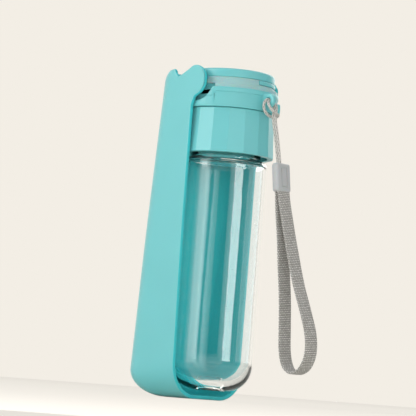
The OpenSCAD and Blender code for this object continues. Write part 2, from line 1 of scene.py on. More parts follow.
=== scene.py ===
"""Looks of the dog travel water bottle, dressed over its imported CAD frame.

Sizes are in millimetres, and MM turns them to Blender's metres. The origin is the middle of the bowl's
foot, +Z runs up along the bottle and +X points at the front with its eyelet.
"""
from __future__ import annotations

import json
import logging
import math
from contextlib import contextmanager
from dataclasses import dataclass, field
from enum import Enum
from typing import Callable, Iterator, Sequence

import bmesh
import bpy
from mathutils import Matrix, Vector
from mathutils.bvhtree import BVHTree

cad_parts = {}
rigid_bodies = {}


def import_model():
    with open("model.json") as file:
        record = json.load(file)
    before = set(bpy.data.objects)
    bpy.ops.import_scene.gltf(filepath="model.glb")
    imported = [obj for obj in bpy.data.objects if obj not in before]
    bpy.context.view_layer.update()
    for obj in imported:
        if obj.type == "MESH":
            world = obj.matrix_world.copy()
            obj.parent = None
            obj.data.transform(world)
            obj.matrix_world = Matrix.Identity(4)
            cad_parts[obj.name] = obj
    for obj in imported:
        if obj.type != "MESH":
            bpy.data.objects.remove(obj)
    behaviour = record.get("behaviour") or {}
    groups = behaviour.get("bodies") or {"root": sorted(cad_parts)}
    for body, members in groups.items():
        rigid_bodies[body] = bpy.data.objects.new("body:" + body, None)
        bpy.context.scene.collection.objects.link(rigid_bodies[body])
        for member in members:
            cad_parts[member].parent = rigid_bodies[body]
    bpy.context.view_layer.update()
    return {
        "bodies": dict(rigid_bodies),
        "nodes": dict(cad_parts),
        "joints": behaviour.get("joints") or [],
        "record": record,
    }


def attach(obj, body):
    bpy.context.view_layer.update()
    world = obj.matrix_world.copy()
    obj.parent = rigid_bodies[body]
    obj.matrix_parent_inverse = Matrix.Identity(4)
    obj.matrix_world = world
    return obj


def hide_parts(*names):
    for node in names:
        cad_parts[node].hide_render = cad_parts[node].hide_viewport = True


LOG = logging.getLogger("bottle")
MM = 0.001
AXIS_X = 16.75  # the bottle's axis, in front of the origin
ACROSS = (0.0, 1.0, 0.0)  # direction that a strap's width starts in
TURN_STEPS = 144
Point = tuple[float, float, float]


class Body(Enum):
    """Bodies of the frame that the new pieces ride on."""

    HEAD = "head"
    BOWL = "bowl"
    COLLAR = "collar"
    BOTTLE = "bottle"
    LOCK = "lock"
    BUTTON = "button"


class Slot(Enum):
    """Material slots of the record."""

    SHELL = "teal_shell"
    INNER = "teal_inner"
    MILKY = "milky_seal"
    RUBBER = "seal_rubber"
    WHITE = "white_plastic"
    STEEL = "spring_steel"
    CLEAR = "clear_bottle"
    TEXTILE = "strap_textile"
    GREY = "grey_plastic"


# ------------------------------------------------------------------ nodes and colours


def linear(code: str) -> tuple[float, float, float, float]:
    """Turns an sRGB hex colour into the linear one that a shader takes.

    Args:
        code: The colour as six hex digits.

    Returns:
        Red, green, blue and an alpha of 1, linear.
    """
    parts = [int(code[i : i + 2], 16) / 255 for i in (0, 2, 4)]
    red, green, blue = (p / 12.92 if p <= 0.04045 else ((p + 0.055) / 1.055) ** 2.4 for p in parts)
    return red, green, blue, 1.0


def add_node(tree: bpy.types.NodeTree, kind: str, settings: dict | None = None, **sockets) -> bpy.types.Node:
    """Adds a node, sets it and links it.

    Args:
        tree: The node tree that gets the node.
        kind: The node's type name.
        settings: Its properties, by name.
        **sockets: Its inputs, by name with _ for a space, or by number after "n". A socket is linked
            and a value is set.

    Returns:
        The new node.
    """
    node = tree.nodes.new(kind)
    for name, value in (settings or {}).items():
        setattr(node, name, value)
    for name, value in sockets.items():
        key = int(name[1:]) if name[0] == "n" and name[1:].isdigit() else name.replace("_", " ")
        socket = node.inputs[key]
        if isinstance(value, bpy.types.NodeSocket):
            tree.links.new(value, socket)
        else:
            socket.default_value = value
    return node


def blank_material(name: str) -> bpy.types.Material:
    """Makes a material with an empty node tree.

    Args:
        name: The material's name.

    Returns:
        The new material.
    """
    made = bpy.data.materials.new(name)
    made.use_nodes = True
    made.node_tree.nodes.clear()
    return made


def any_ray(tree: bpy.types.NodeTree, *kinds: str) -> bpy.types.NodeSocket:
    """Tells rays of some kinds from all others.

    Args:
        tree: The node tree that gets the nodes.
        *kinds: Names of Light Path's outputs.

    Returns:
        A value that is 1 for a ray of one of the kinds, and else 0.
    """
    ray = add_node(tree, "ShaderNodeLightPath")
    found = ray.outputs[kinds[0]]
    for kind in kinds[1:]:
        either = add_node(tree, "ShaderNodeMath", {"operation": "MAXIMUM"}, n0=found, n1=ray.outputs[kind])
        found = either.outputs["Value"]
    return found


@dataclass(frozen=True)
class Finish:
    """What every finish has: its name, its slot in the record and its colour."""

    name: str
    slot: Slot
    colour: str

    def material(self) -> bpy.types.Material:
        """Finds the finish's material, which the first call makes.

        Returns:
            The material.
        """
        found = bpy.data.materials.get(self.name)
        if found:
            return found
        made = blank_material(self.name)
        add_node(made.node_tree, "ShaderNodeOutputMaterial", Surface=self.shade(made.node_tree))
        made.diffuse_color = linear(self.colour)
        return made

    def shade(self, tree: bpy.types.NodeTree) -> bpy.types.NodeSocket:
        """Builds the finish's nodes.

        Args:
            tree: The material's empty node tree.

        Returns:
            The output of its shader.
        """
        raise NotImplementedError


@dataclass(frozen=True)
class MouldedAbs(Finish):
    """Injection-moulded ABS: opaque and coloured all through, with a satin gloss.

    The tool's fine spark-eroded grain breaks the highlights up a little, and the wall's
    slow sink marks bend them.
    """

    roughness: float = 0.3
    ior: float = 1.54
    grain_mm: float = 0.9  # coarser than the real 0.1 mm, so that it shows
    sink_mm: float = 28.0

    def shade(self, tree: bpy.types.NodeTree) -> bpy.types.NodeSocket:
        """Builds the finish's nodes.

        Args:
            tree: The material's empty node tree.

        Returns:
            The output of its shader.
        """
        where = add_node(tree, "ShaderNodeTexCoord").outputs["Object"]
        grain = add_node(tree, "ShaderNodeTexNoise", Vector=where, Scale=1 / (self.grain_mm * MM), Detail=2.0)
        sink = add_node(tree, "ShaderNodeTexNoise", Vector=where, Scale=1 / (self.sink_mm * MM), Detail=1.0)
        tone = add_node(tree, "ShaderNodeMapRange", Value=sink.outputs["Fac"], To_Min=0.965, To_Max=1.03)
        colour = add_node(
            tree, "ShaderNodeHueSaturation", Color=linear(self.colour), Value=tone.outputs["Result"]
        )
        satin = add_node(
            tree, "ShaderNodeMapRange", Value=grain.outputs["Fac"],
            To_Min=self.roughness - 0.04, To_Max=self.roughness + 0.05,
        )
        waves = add_node(
            tree, "ShaderNodeBump", Height=sink.outputs["Fac"], Strength=0.25, Distance=0.25 * MM
        )
        bump = add_node(
            tree, "ShaderNodeBump", Height=grain.outputs["Fac"], Strength=0.12, Distance=0.02 * MM,
            Normal=waves.outputs["Normal"],
        )
        return add_node(
            tree, "ShaderNodeBsdfPrincipled", Base_Color=colour.outputs["Color"],
            Roughness=satin.outputs["Result"], Normal=bump.outputs["Normal"], IOR=self.ior,
            Subsurface_Weight=0.06, Subsurface_Scale=0.8 * MM,
        ).outputs["BSDF"]


@dataclass(frozen=True)
class ClearCopolyester(Finish):
    """Blow-moulded clear copolyester: water-clear, glossy, with faint vertical flow lines."""

    flow_mm: float = 14.0
    flow_stretch: float = 0.12  # squeezes the pattern's height, which draws the lines out upwards
    longest_path: float = 5.0

    def shade(self, tree: bpy.types.NodeTree) -> bpy.types.NodeSocket:
        """Builds the finish's nodes.

        Args:
            tree: The material's empty node tree.

        Returns:
            The output of its shader.
        """
        where = add_node(tree, "ShaderNodeTexCoord").outputs["Object"]
        drawn = add_node(tree, "ShaderNodeMapping", Vector=where, Scale=(1.0, 1.0, self.flow_stretch))
        flow = add_node(
            tree, "ShaderNodeTexNoise", Vector=drawn.outputs["Vector"], Scale=1 / (self.flow_mm * MM),
            Detail=1.0,
        )
        bump = add_node(
            tree, "ShaderNodeBump", Height=flow.outputs["Fac"], Strength=0.3, Distance=0.25 * MM
        )
        clear = add_node(
            tree, "ShaderNodeBsdfPrincipled", Base_Color=linear(self.colour), Roughness=0.025, IOR=1.56,
            Transmission_Weight=1.0, Normal=bump.outputs["Normal"],
        )
        # light passes through the clear wall, so that what stands behind it isn't in a hard shadow
        passing = add_node(tree, "ShaderNodeBsdfTransparent", Color=linear("FCFEFE"))
        ray = add_node(tree, "ShaderNodeLightPath")
        # a path that is caught inside the thick base goes straight on, where it would end in black
        caught = add_node(
            tree, "ShaderNodeMath", {"operation": "GREATER_THAN"}, n0=ray.outputs["Ray Depth"],
            n1=self.longest_path,
        )
        straight = add_node(
            tree, "ShaderNodeMath", {"operation": "MAXIMUM"}, n0=ray.outputs["Is Shadow Ray"],
            n1=caught.outputs["Value"],
        )
        return add_node(
            tree, "ShaderNodeMixShader", n0=straight.outputs["Value"], n1=clear.outputs["BSDF"],
            n2=passing.outputs["BSDF"],
        ).outputs["Shader"]


@dataclass(frozen=True)
class FineSkin(Finish):
    """A moulded skin whose fine grain varies its gloss, over a body that light sinks into."""

    grain_mm: float = 1.0
    detail: float = 3.0
    gloss: tuple[float, float] = (0.4, 0.5)  # roughness in the grain's hollows and on its tops
    relief: float = 0.15
    relief_mm: float = 0.03
    ior: float = 1.41
    soft: float = 0.15  # share of the light that sinks in
    soft_mm: float = 1.0

    def shade(self, tree: bpy.types.NodeTree) -> bpy.types.NodeSocket:
        """Builds the finish's nodes.

        Args:
            tree: The material's empty node tree.

        Returns:
            The output of its shader.
        """
        where = add_node(tree, "ShaderNodeTexCoord").outputs["Object"]
        grain = add_node(
            tree, "ShaderNodeTexNoise", Vector=where, Scale=1 / (self.grain_mm * MM), Detail=self.detail
        )
        low, high = self.gloss
        rough = add_node(
            tree, "ShaderNodeMapRange", Value=grain.outputs["Fac"], To_Min=low, To_Max=high
        )
        bump = add_node(
            tree, "ShaderNodeBump", Height=grain.outputs["Fac"], Strength=self.relief,
            Distance=self.relief_mm * MM,
        )
        return add_node(
            tree, "ShaderNodeBsdfPrincipled", Base_Color=linear(self.colour),
            Roughness=rough.outputs["Result"], IOR=self.ior, Subsurface_Weight=self.soft,
            Subsurface_Scale=self.soft_mm * MM, Normal=bump.outputs["Normal"],
        ).outputs["BSDF"]


@dataclass(frozen=True)
class MilkySilicone(FineSkin):
    """Compression-moulded translucent silicone: milky, soft-looking, a little dusty on top."""

    grain_mm: float = 1.6
    gloss: tuple[float, float] = (0.34, 0.52)
    soft: float = 0.6
    soft_mm: float = 1.5


@dataclass(frozen=True)
class PlainSilicone(FineSkin):
    """Moulded silicone, filled and opaque, with a matt skin."""

    grain_mm: float = 0.8
    detail: float = 2.0
    gloss: tuple[float, float] = (0.5, 0.65)
    relief: float = 0.2


@dataclass(frozen=True)
class MouldedAcetal(FineSkin):
    """Moulded acetal: dense and waxy, with a soft sheen from a polished tool."""

    grain_mm: float = 0.7
    gloss: tuple[float, float] = (0.31, 0.42)
    relief_mm: float = 0.02
    ior: float = 1.48
    soft: float = 0.1
    soft_mm: float = 0.8


@dataclass(frozen=True)
class DrawnSteel(Finish):
    """Drawn stainless wire and stamped sheet: bright metal with fine drawing lines."""

    lines_mm: float = 0.3

    def shade(self, tree: bpy.types.NodeTree) -> bpy.types.NodeSocket:
        """Builds the finish's nodes.

        Args:
            tree: The material's empty node tree.

        Returns:
            The output of its shader.
        """
        where = add_node(tree, "ShaderNodeTexCoord").outputs["Object"]
        lines = add_node(
            tree, "ShaderNodeTexNoise", Vector=where, Scale=1 / (self.lines_mm * MM), Detail=3.0
        )
        rough = add_node(tree, "ShaderNodeMapRange", Value=lines.outputs["Fac"], To_Min=0.2, To_Max=0.36)
        return add_node(
            tree, "ShaderNodeBsdfPrincipled", Base_Color=linear(self.colour),
            Roughness=rough.outputs["Result"], Metallic=1.0,
        ).outputs["BSDF"]


@dataclass(frozen=True)
class WovenBand(Finish):
    """Woven polyester webbing: grey yarns with white flecks in rows across the band.

    It reads the piece's own UV map, in which one unit is one millimetre: U across and V along.
    """

    fleck: str = "F8F6F2"
    # the hollows between the yarns are painted darker: painted shade
    hollow_shade: str = "827F79"
    row_mm: float = 1.1  # rows of the weave; real webbing has about 0.6 mm, too fine to show
    yarn_mm: float = 1.5

    def shade(self, tree: bpy.types.NodeTree) -> bpy.types.NodeSocket:
        """Builds the finish's nodes.

        Args:
            tree: The material's empty node tree.

        Returns:
            The output of its shader.
        """
        where = add_node(tree, "ShaderNodeTexCoord").outputs["UV"]
        weave = add_node(
            tree, "ShaderNodeTexBrick", {"offset": 0.5, "squash": 1.0}, Vector=where,
            Color1=linear(self.fleck), Color2=linear(self.colour), Mortar=linear(self.hollow_shade),
            Scale=1.0, Mortar_Size=0.26, Mortar_Smooth=0.35, Bias=0.0,
            Brick_Width=self.yarn_mm, Row_Height=self.row_mm,
        )
        fibres = add_node(tree, "ShaderNodeTexNoise", Vector=where, Scale=2.4, Detail=2.0)
        tone = add_node(tree, "ShaderNodeMapRange", Value=fibres.outputs["Fac"], To_Min=0.82, To_Max=1.14)
        colour = add_node(
            tree, "ShaderNodeHueSaturation", Color=weave.outputs["Color"], Value=tone.outputs["Result"]
        )
        bump = add_node(
            tree, "ShaderNodeBump", {"invert": True}, Height=weave.outputs["Fac"], Strength=0.7,
            Distance=0.25 * MM,
        )
        return add_node(
            tree, "ShaderNodeBsdfPrincipled", Base_Color=colour.outputs["Color"], Roughness=0.82, IOR=1.5,
            Sheen_Weight=0.25, Sheen_Roughness=0.5, Normal=bump.outputs["Normal"],
        ).outputs["BSDF"]


@dataclass(frozen=True)
class BraidedCord(Finish):
    """Braided polyester cord: two sets of yarns that cross round it.

    It reads the piece's own UV map: U once round, V in millimetres along.
    """

    # the low parts between the yarns are painted darker: painted shade
    hollow_shade: str = "94918B"
    turn_mm: float = 2.6  # a yarn goes half round in this length

    def shade(self, tree: bpy.types.NodeTree) -> bpy.types.NodeSocket:
        """Builds the finish's nodes.

        Args:
            tree: The material's empty node tree.

        Returns:
            The output of its shader.
        """
        where = add_node(tree, "ShaderNodeTexCoord").outputs["UV"]
        slant = math.atan(1 / self.turn_mm)
        yarns = []
        for side in (1, -1):
            turned_uv = add_node(
                tree, "ShaderNodeMapping", Vector=where, Rotation=(0.0, 0.0, side * slant),
                Scale=(2.0, 1 / self.turn_mm, 1.0),
            )
            yarns.append(add_node(
                tree, "ShaderNodeTexWave", {"wave_type": "BANDS", "bands_direction": "X"},
                Vector=turned_uv.outputs["Vector"], Scale=0.62, Distortion=0.0,
            ).outputs["Fac"])
        braid = add_node(tree, "ShaderNodeMath", {"operation": "MAXIMUM"}, n0=yarns[0], n1=yarns[1])
        height = braid.outputs["Value"]
        # darker where the braid is lower: painted shade in its hollows
        colour = add_node(
            tree, "ShaderNodeMixRGB", Fac=height, Color1=linear(self.hollow_shade), Color2=linear(self.colour)
        )
        bump = add_node(tree, "ShaderNodeBump", Height=height, Strength=0.7, Distance=0.2 * MM)
        return add_node(
            tree, "ShaderNodeBsdfPrincipled", Base_Color=colour.outputs["Color"], Roughness=0.75, IOR=1.5,
            Sheen_Weight=0.25, Sheen_Roughness=0.5, Normal=bump.outputs["Normal"],
        ).outputs["BSDF"]


SHELL = MouldedAbs("moulded_abs_teal", Slot.SHELL, "7BD4D7")
# the shell's plastic with a deeper teal: painted shade for the bowl's inside and rim
INSIDE_PAINTED_SHADE = MouldedAbs("moulded_abs_teal_inside_painted_shade", Slot.SHELL, "4AD0D6", roughness=0.4, ior=1.26)
INNER = MouldedAcetal("moulded_acetal_teal", Slot.INNER, "6CC4C6")
MILKY = MilkySilicone("translucent_silicone_milky", Slot.MILKY, "ABD4D4")
RUBBER = PlainSilicone("plain_silicone_pale", Slot.RUBBER, "CBD0D0")
WHITE = MouldedAcetal("moulded_acetal_white", Slot.WHITE, "EDEEEC")
STEEL = DrawnSteel("drawn_steel_bright", Slot.STEEL, "C9CACB")
CLEAR = ClearCopolyester("clear_copolyester", Slot.CLEAR, "FAFDFD")
BAND = WovenBand("woven_polyester_grey", Slot.TEXTILE, "D0CDC7")
CORD = BraidedCord("braided_polyester_grey", Slot.TEXTILE, "DAD7D1")
GREY = MouldedAcetal("moulded_acetal_grey", Slot.GREY, "C2C4C5", gloss=(0.37, 0.48))


# ------------------------------------------------------------------ modelling helpers


def pick(piece: bpy.types.Object) -> None:
    """Selects a piece alone and makes it active."""
    bpy.ops.object.select_all(action="DESELECT")
    piece.select_set(True)
    bpy.context.view_layer.objects.active = piece


@contextmanager
def editing(piece: bpy.types.Object) -> Iterator[None]:
    """Opens a piece in edit mode with all of it selected, and closes it afterwards.

    Args:
        piece: The piece to edit.
    """
    pick(piece)
    bpy.ops.object.mode_set(mode="EDIT")
    bpy.ops.mesh.select_all(action="SELECT")
    yield
    bpy.ops.object.mode_set(mode="OBJECT")


def select_faces(piece: bpy.types.Object, test: Callable[[bmesh.types.BMFace], bool]) -> None:
    """Selects the faces that pass a test, in face mode.

    Args:
        piece: The piece, in edit mode.
        test: Says of a face whether it is picked.
    """
    bpy.ops.mesh.select_mode(type="FACE")
    bpy.ops.mesh.select_all(action="DESELECT")
    for face in bmesh.from_edit_mesh(piece.data).faces:
        if test(face):
            face.select_set(True)
    bmesh.update_edit_mesh(piece.data)


def select_sharp_edges(piece: bpy.types.Object, angle: float) -> int:
    """Selects the edges that are sharper than an angle.

    Args:
        piece: The piece, in edit mode.
        angle: The smallest angle between the two faces, in degrees.

    Returns:
        How many edges were picked.
    """
    bpy.ops.mesh.select_mode(type="EDGE")
    bpy.ops.mesh.select_all(action="DESELECT")
    shape = bmesh.from_edit_mesh(piece.data)
    sharp = [e for e in shape.edges if e.is_manifold and e.calc_face_angle(0.0) > math.radians(angle)]
    for edge in sharp:
        edge.select_set(True)
    bmesh.update_edit_mesh(piece.data)
    return len(sharp)


def mesh_piece(name: str, points: Sequence[Sequence[float]], faces: Sequence[Sequence[int]],
               edges: Sequence[Sequence[int]] = ()) -> bpy.types.Object:
    """Makes an object from points in millimetres.

    Args:
        name: The piece's name.
        points: Its vertices.
        faces: Its faces, as vertex numbers.
        edges: Loose edges, as vertex numbers.

    Returns:
        The new object.
    """
    data = bpy.data.meshes.new(name)
    data.from_pydata([[c * MM for c in p] for p in points], edges, faces)
    piece = bpy.data.objects.new(name, data)
    bpy.context.scene.collection.objects.link(piece)
    return piece


def modify(piece: bpy.types.Object, kind: str, **settings) -> None:
    """Adds a modifier and applies it.

    Args:
        piece: The piece that gets it.
        kind: The modifier's type.
        **settings: Its properties.
    """
    pick(piece)
    added = piece.modifiers.new(kind.lower(), kind)
    for name, value in settings.items():
        setattr(added, name, value)
    bpy.ops.object.modifier_apply(modifier=added.name)


def smooth(piece: bpy.types.Object, angle: float = 32) -> None:
    """Shades a piece smooth but for its edges over an angle in degrees."""
    pick(piece)
    bpy.ops.object.shade_smooth_by_angle(angle=math.radians(angle))


def dress(piece: bpy.types.Object, finish: Finish) -> None:
    """Gives a piece its finish, alone."""
    piece.data.materials.clear()
    piece.data.materials.append(finish.material())


def seat(piece: bpy.types.Object, body: Body, node: str) -> None:
    """Puts a piece on its body in the place of a CAD node.

    Args:
        piece: The finished piece.
        body: The body that carries it.
        node: The CAD node that it replaces.
    """
    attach(piece, body.value)
    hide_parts(node)


def turned(name: str, outline: Sequence[tuple[float, float]]) -> bpy.types.Object:
    """Spins an outline, both ends of which lie on the bottle's axis, once round it.

    Args:
        name: The piece's name.
        outline: Radius and height of each point.

    Returns:
        The new piece, with its faces outwards.
    """
    points = [(AXIS_X + r, 0.0, z) for r, z in outline]
    piece = mesh_piece(name, points, [], [(i, i + 1) for i in range(len(points) - 1)])
    with editing(piece):
        bpy.ops.mesh.spin(steps=TURN_STEPS, angle=math.tau, center=(AXIS_X * MM, 0, 0), axis=(0, 0, 1))
        bpy.ops.mesh.select_all(action="SELECT")
        bpy.ops.mesh.remove_doubles(threshold=0.004 * MM)
        bpy.ops.mesh.normals_make_consistent(inside=False)
    return piece


def rounded_copy(frame: dict, node: str, radius: float, flat: float) -> bpy.types.Object:
    """Copies a CAD node and rounds its sharp edges, as a moulded piece has them.

    Args:
        frame: The loaded frame.
        node: The CAD node's name.
        radius: Width of the rounding.
        flat: Edges over this angle stay crisp, in degrees.

    Returns:
        The new piece.
    """
    sharp = 38  # edges over this angle are rounded, in degrees
    furthest = 0.75 * radius * MM  # no point of a good rounding is further from the moulded face
    source = frame["nodes"][node]
    piece = source.copy()
    piece.data = source.data.copy()
    piece.name = f"{node}_moulded"
    piece.parent = None
    piece.matrix_world = Matrix.Identity(4)
    bpy.context.scene.collection.objects.link(piece)
    with editing(piece):
        bpy.ops.mesh.remove_doubles(threshold=0.003 * MM)
        bpy.ops.mesh.dissolve_limited(angle_limit=math.radians(0.4))
        bpy.ops.mesh.select_all(action="SELECT")
        bpy.ops.mesh.normals_make_consistent(inside=False)
        if select_sharp_edges(piece, sharp):
            bpy.ops.mesh.bevel(
                offset=radius * MM, segments=2, profile=0.5, clamp_overlap=False, affect="EDGES"
            )
    # where short edges meet, a rounding can throw a point far out: it goes back to the moulded face
    mould = BVHTree.FromPolygons(
        [v.co for v in source.data.vertices], [f.vertices for f in source.data.polygons]
    )
    for vertex in piece.data.vertices:
        near, _, _, away = mould.find_nearest(vertex.co)
        if away > furthest:
            vertex.co = near
    smooth(piece, flat)
    return piece


def on_route(route: Sequence[Point], u: float) -> Vector:
    """Point on the smooth curve through a route.

    Args:
        route: The route's points.
        u: Position, counted in points.

    Returns:
        The point.
    """
    last = len(route) - 1
    i = min(last - 1, int(u))
    t = u - i
    a, b, c, d = (Vector(route[min(max(k, 0), last)]) for k in (i - 1, i, i + 1, i + 2))
    return 0.5 * (
        2 * b + (c - a) * t + (2 * a - 5 * b + 4 * c - d) * t * t + (3 * b - a - 3 * c + d) * t ** 3
    )


def swept(name: str, route: Sequence[Point], section: Sequence[tuple[float, float]], per: int,
          carry: bool = True) -> tuple[bpy.types.Object, list[Vector]]:
    """Sweeps a closed section along a smooth route, with a UV map in millimetres.

    Args:
        name: The piece's name.
        route: The route, measured from the bottle's axis.
        section: The section's points, across and through.
        per: Steps between two route points.
        carry: True carries the width along without twist; False turns it back to ACROSS at each step.

    Returns:
        The piece and the route's fine points.
    """
    middle = [on_route(route, i / per) + Vector((AXIS_X, 0, 0)) for i in range(per * (len(route) - 1) + 1)]
    wide = Vector(ACROSS)
    rings: list[Vector] = []
    run = [0.0]
    for i, point in enumerate(middle):
        along = (middle[min(len(middle) - 1, i + 1)] - middle[max(0, i - 1)]).normalized()
        base = wide if carry else Vector(ACROSS)
        wide = (base - base.dot(along) * along).normalized()
        through = along.cross(wide)
        rings += [point + a * wide + b * through for a, b in section]
        if i:
            run.append(run[-1] + (point - middle[i - 1]).length)
    n, m = len(section), len(middle)
    faces = [(i * n + j, i * n + (j + 1) % n, (i + 1) * n + (j + 1) % n, (i + 1) * n + j)
             for i in range(m - 1) for j in range(n)]
    faces += [tuple(range(n - 1, -1, -1)), tuple((m - 1) * n + j for j in range(n))]
    piece = mesh_piece(name, rings, faces)
    round_run = [0.0]
    for j in range(n):
        (a, b), (c, d) = section[j], section[(j + 1) % n]
        round_run.append(round_run[-1] + math.hypot(c - a, d - b))
    layer = piece.data.uv_layers.new(name="weave").data
    for face in piece.data.polygons[: (m - 1) * n]:
        i, j = divmod(face.index, n)
        for loop, (k, q) in zip(face.loop_indices, ((i, j), (i, j + 1), (i + 1, j + 1), (i + 1, j))):
            layer[loop].uv = (round_run[q], run[k])
    with editing(piece):
        bpy.ops.mesh.normals_make_consistent(inside=False)
    return piece, middle


def length_of(points: Sequence[Vector]) -> float:
    """Length of a fine route."""
    return sum((b - a).length for a, b in zip(points, points[1:]))


# ------------------------------------------------------------------ studio


def away_from_axis(azimuth: float, distance: float, height: float) -> Vector:
    """Place in the studio, in metres.

    Args:
        azimuth: Its direction from the bottle, in degrees from -Y towards +X.
        distance: Its distance from the bottle's axis.
        height: Its height above the floor.

    Returns:
        The place.
    """
    a = math.radians(azimuth)
    return Vector((AXIS_X * MM + math.sin(a) * distance, -math.cos(a) * distance, height))


@dataclass(frozen=True)
class Softbox:
    """An area lamp that faces the bottle, with its places and sizes in metres and its power in watts."""

    name: str
    azimuth: float
    height: float
    distance: float
    width: float
    tall: float
    watts: float
    mirrored: bool = True  # a fill gives no highlight, on a surface or in the bottle's wall
    aim_height: float = 0.11

    def hang(self) -> None:
        """Adds the lamp to the scene."""
        data = bpy.data.lights.new(self.name, "AREA")
        data.shape = "RECTANGLE"
        data.size = self.width
        data.size_y = self.tall
        data.energy = self.watts
        lamp = bpy.data.objects.new(self.name, data)
        lamp.visible_glossy = self.mirrored
        lamp.visible_transmission = self.mirrored
        place = away_from_axis(self.azimuth, self.distance, self.height)
        facing = Vector((AXIS_X * MM, 0, self.aim_height)) - place
        lamp.matrix_world = Matrix.Translation(place) @ facing.to_track_quat("-Z", "Y").to_matrix().to_4x4()
        bpy.context.scene.collection.objects.link(lamp)


@dataclass(frozen=True)
class Card:
    """An upright card that only reflections see, with its places and sizes in metres."""

    name: str
    azimuth: float
    distance: float
    width: float
    plain: float  # strength on plain gloss
    near: float  # strength in the bottle's near wall
    far: float  # strength in its far wall
    rise: float = 0.55  # height of its middle, as a share of the distance
    reach: float = 1.5  # its own height, as a share of the distance

    def hang(self) -> None:
        """Adds the card to the scene."""
        bpy.ops.object.select_all(action="DESELECT")
        place = away_from_axis(self.azimuth, self.distance, self.rise * self.distance)
        bpy.ops.mesh.primitive_plane_add(
            size=1, location=place, rotation=(math.radians(90), 0, math.radians(self.azimuth))
        )
        card = bpy.context.active_object
        card.name = self.name
        card.scale = (self.width, self.reach * self.distance, 1)
        card.data.materials.append(self.cloth())

    def cloth(self) -> bpy.types.Material:
        """Makes the card's material, which glows in reflections and lets all other light pass.

        Returns:
            The material.
        """
        made = blank_material(f"{self.name}_cloth")
        tree = made.node_tree
        ray = add_node(tree, "ShaderNodeLightPath")
        mirrored, through, deep = (
            add_node(tree, "ShaderNodeMath", {"operation": "GREATER_THAN"}, n0=ray.outputs[depth], n1=least)
            for depth, least in (
                ("Glossy Depth", 0.5), ("Transmission Depth", 0.5), ("Transmission Depth", 2.5)
            )
        )
        # light that a matt face has scattered passes the card, so that it throws no light on the object
        direct = add_node(
            tree, "ShaderNodeMath", {"operation": "LESS_THAN"}, n0=ray.outputs["Diffuse Depth"], n1=0.5
        )
        shown = add_node(
            tree, "ShaderNodeMath", {"operation": "MULTIPLY"}, n0=mirrored.outputs["Value"],
            n1=direct.outputs["Value"],
        )
        level = add_node(
            tree, "ShaderNodeMapRange", Value=through.outputs["Value"], To_Min=self.plain, To_Max=self.near
        )
        level = add_node(
            tree, "ShaderNodeMapRange", Value=deep.outputs["Value"], To_Min=level.outputs["Result"],
            To_Max=self.far,
        )
        gone = add_node(tree, "ShaderNodeBsdfTransparent")
        seen = add_node(
            tree, "ShaderNodeEmission", Color=linear("FFFDFA"), Strength=level.outputs["Result"]
        )
        mixed = add_node(
            tree, "ShaderNodeMixShader", n0=shown.outputs["Value"], n1=gone.outputs["BSDF"],
            n2=seen.outputs["Emission"],
        )
        add_node(tree, "ShaderNodeOutputMaterial", Surface=mixed.outputs["Shader"])
        return made


